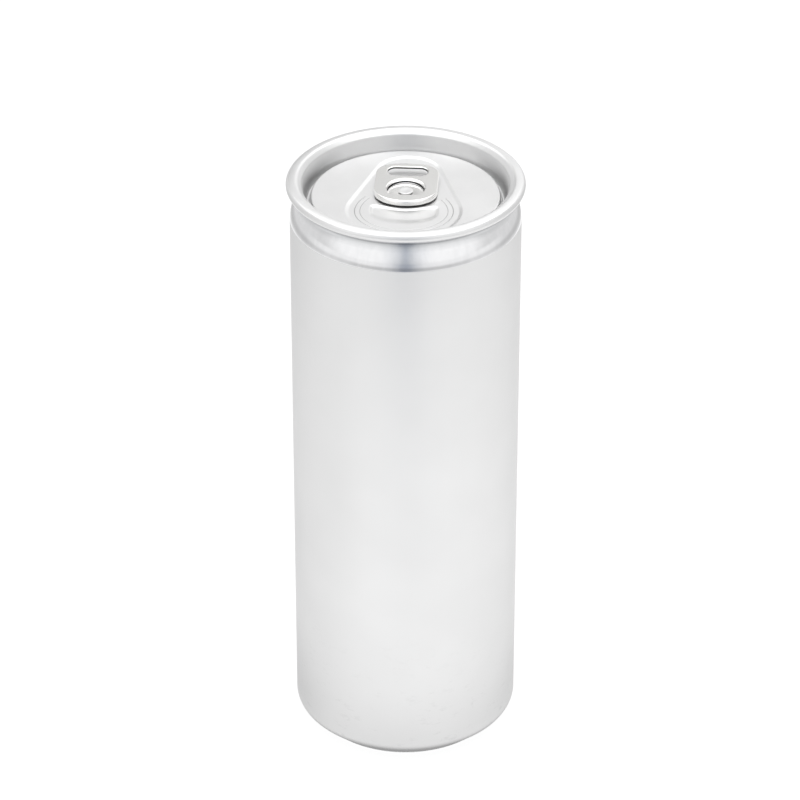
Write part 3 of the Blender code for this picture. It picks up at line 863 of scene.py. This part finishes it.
class Glow:
    """Brightness of what the metal mirrors, as nodes that work from a direction."""

    def __init__(self, tree, direction):
        self.tree = tree
        self.direction = direction

    def add(self, kind, inputs, output, **settings):
        return add_node(self.tree, kind, inputs, **settings).outputs[output]

    def towards(self, azimuth, elevation):
        """Cosine of the angle to a direction, with azimuth 0 at the camera's side."""
        azimuth, elevation = math.radians(azimuth), math.radians(elevation)
        x, y = turned(math.sin(azimuth) * math.cos(elevation),
                      -math.cos(azimuth) * math.cos(elevation))
        return self.add("ShaderNodeVectorMath",
                        {0: self.direction, 1: (x, y, math.sin(elevation))},
                        "Value", operation="DOT_PRODUCT")

    def mask(self, value, start, end):
        """0 to 1 as value goes softly from start to end."""
        return self.add("ShaderNodeMapRange",
                        {"Value": value, "From Min": start, "From Max": end},
                        "Result", interpolation_type="SMOOTHSTEP")

    def times(self, one, other):
        return self.add("ShaderNodeMath", {0: one, 1: other}, 0, operation="MULTIPLY")

    def blended(self, share, under, over, kind="MIX"):
        """Colour under, mixed with or multiplied by the colour over."""
        return self.add("ShaderNodeMix", {"Factor": share, "A": under, "B": over}, "Result",
                        data_type="RGBA", blend_type=kind)

    def with_gap(self, shade, tint, shares):
        """Shade with the dark strip behind the camera laid over it."""
        across = self.add("ShaderNodeMath", {0: self.towards(90, 0)}, 0, operation="ABSOLUTE")
        ramp = self.tree.nodes.new("ShaderNodeValToRGB")
        stops = ramp.color_ramp.elements
        added = [stops.new(0.5) for _ in shares[2:]]
        for stop, (place, level) in zip([stops[0], *added, stops[-1]], shares):
            stop.position = place
            stop.color = (level, level, level, 1)
        self.tree.links.new(across, ramp.inputs["Fac"])
        share = self.times(ramp.outputs["Color"], self.mask(self.towards(0, 0), 0.3, 0.7))
        return self.blended(share, shade, (*tint, 1), "MULTIPLY")


def grey(level):
    return (level, level, level, 1)


def ring_card(name, inner, outer, height, shade):
    """A ring flat over the floor that only mirrors see. shade gives its colour from the
    ring's node tools, as a colour or a socket."""
    steps = 96
    rings = [[(*step((0, 0), radius, math.tau * i / steps), height) for i in range(steps)]
             for radius in (inner, outer)]
    mesh = bpy.data.meshes.new(name)
    mesh.from_pydata(rings[0] + rings[1], [],
                     [(i, (i + 1) % steps, steps + (i + 1) % steps, steps + i)
                      for i in range(steps)])
    material = bpy.data.materials.new(name)
    material.use_nodes = True
    tree = material.node_tree
    place = add_node(tree, "ShaderNodeTexCoord").outputs["Object"]
    outward = add_node(tree, "ShaderNodeVectorMath", {0: place}, operation="NORMALIZE")
    glow = Glow(tree, outward.outputs[0])
    light = glow.add("ShaderNodeEmission", {"Color": shade(glow, place)}, 0)
    tree.links.new(light, tree.nodes["Material Output"].inputs["Surface"])
    mesh.materials.append(material)
    made = bpy.data.objects.new(name, mesh)
    made.visible_camera = False
    made.visible_diffuse = False
    made.visible_shadow = False
    bpy.context.scene.collection.objects.link(made)


def floor_shade(glow, place):
    """The floor further off, with the strip that the camera's side leaves dark."""
    distance = glow.add("ShaderNodeVectorMath", {0: place}, "Value", operation="LENGTH")
    near = glow.blended(glow.mask(glow.towards(0, 0), 0.3, 0.9), grey(FLOOR_NEAR[1]),
                        grey(FLOOR_NEAR[1] * FLOOR_FRONT_SHADE))
    shade = glow.blended(glow.mask(distance, FLOOR_START[0], FLOOR_NEAR[0]),
                         grey(FLOOR_START[1]), near)
    far = glow.mask(distance, FLOOR_NEAR[0], FLOOR_FAR[0])
    shade = glow.blended(far, shade, grey(FLOOR_FAR[1]))
    shade = glow.with_gap(shade, FLOOR_GAP, FLOOR_GAP_SHARES)
    start, end, level = FLOOR_BESIDE
    beside = glow.mask(glow.towards(0, 0), start, end)
    return glow.blended(beside, shade, grey(level), "MULTIPLY")


def near_floor_shade(glow, place):
    """The bright floor close round the can."""
    distance = glow.add("ShaderNodeVectorMath", {0: place}, "Value", operation="LENGTH")
    shade = glow.blended(glow.mask(distance, CONTACT[1][0], CONTACT_FADE), grey(CONTACT[1][1]),
                         grey(FLOOR_WHITE))
    for azimuth, start, end, level in FLOOR_SIDES:
        side = glow.mask(glow.towards(azimuth, 0), start, end)
        shade = glow.blended(side, shade, grey(level), "MULTIPLY")
    return shade


def contact_shade(glow, place):
    """A painted shadow: the floor in the can's own shade at its foot, on a ring only mirrors
    see.
    """
    distance = glow.add("ShaderNodeVectorMath", {0: place}, "Value", operation="LENGTH")
    (inner, dark), (outer, light) = CONTACT
    return glow.blended(glow.mask(distance, inner, outer), grey(dark), grey(light))


def make_world():
    """Pale surroundings whose brightness changes softly with direction."""
    world = bpy.data.worlds.new("studio")
    world.use_nodes = True
    tree = world.node_tree
    glow = Glow(tree, tree.nodes.new("ShaderNodeTexCoord").outputs["Generated"])
    shade = grey(SURROUNDINGS_LEVEL)
    for azimuth, elevation, inner, outer, level in SURROUNDINGS:
        near = glow.mask(glow.towards(azimuth, elevation), math.cos(math.radians(outer)),
                         math.cos(math.radians(inner)))
        shade = glow.blended(near, shade, grey(level))
    seen = tree.nodes.new("ShaderNodeLightPath").outputs["Is Camera Ray"]
    shade = glow.with_gap(shade, CAMERA_GAP, CAMERA_GAP_SHARES)
    shade = glow.blended(seen, shade, grey(BACKDROP))
    tree.links.new(shade, tree.nodes["Background"].inputs["Color"])
    bpy.context.scene.world = world


def make_floor():
    """White paper that glows a little, so that it stays even under the soft light."""
    reach = FLOOR_REACH
    mesh = bpy.data.meshes.new("floor")
    mesh.from_pydata([(-reach, -reach, 0), (reach, -reach, 0), (reach, reach, 0),
                      (-reach, reach, 0)], [], [(0, 1, 2, 3)])
    floor = bpy.data.objects.new("floor", mesh)
    paper = bpy.data.materials.new("floor_paper")
    paper.use_nodes = True
    shader = paper.node_tree.nodes["Principled BSDF"]
    shader.inputs["Base Color"].default_value = grey(FLOOR_PAPER)
    shader.inputs["Emission Color"].default_value = grey(1)
    shader.inputs["Emission Strength"].default_value = FLOOR_GLOW
    shader.inputs["Roughness"].default_value = 0.9
    shader.inputs["Specular IOR Level"].default_value = 0
    mesh.materials.append(paper)
    bpy.context.scene.collection.objects.link(floor)


def make_camera():
    data = bpy.data.cameras.new("camera")
    data.sensor_width = SENSOR_WIDTH
    data.lens = LENS
    camera = bpy.data.objects.new("camera", data)
    camera.location = (*turned(CAMERA_OFFSET, -CAMERA_BACK), CAMERA_HEIGHT)
    aim = Vector((*turned(CAMERA_OFFSET, 0), AIM_HEIGHT)) - camera.location
    camera.rotation_euler = aim.to_track_quat("-Z", "Y").to_euler()
    bpy.context.scene.collection.objects.link(camera)
    bpy.context.scene.camera = camera


def make_studio():
    (inner, _), (outer, _) = CONTACT
    near = FLOOR_START[0]
    make_floor()
    make_world()
    make_softbox()
    ring_card("floor_mirrored", near, FLOOR_REACH, CARD_HEIGHT, floor_shade)
    ring_card("floor_beside", outer, near, CARD_HEIGHT, near_floor_shade)
    ring_card("floor_contact", inner, outer, CONTACT_HEIGHT, contact_shade)
    make_camera()
    bpy.context.scene.view_settings.view_transform = "Standard"


make_body()
make_lid()
make_tab()
make_studio()
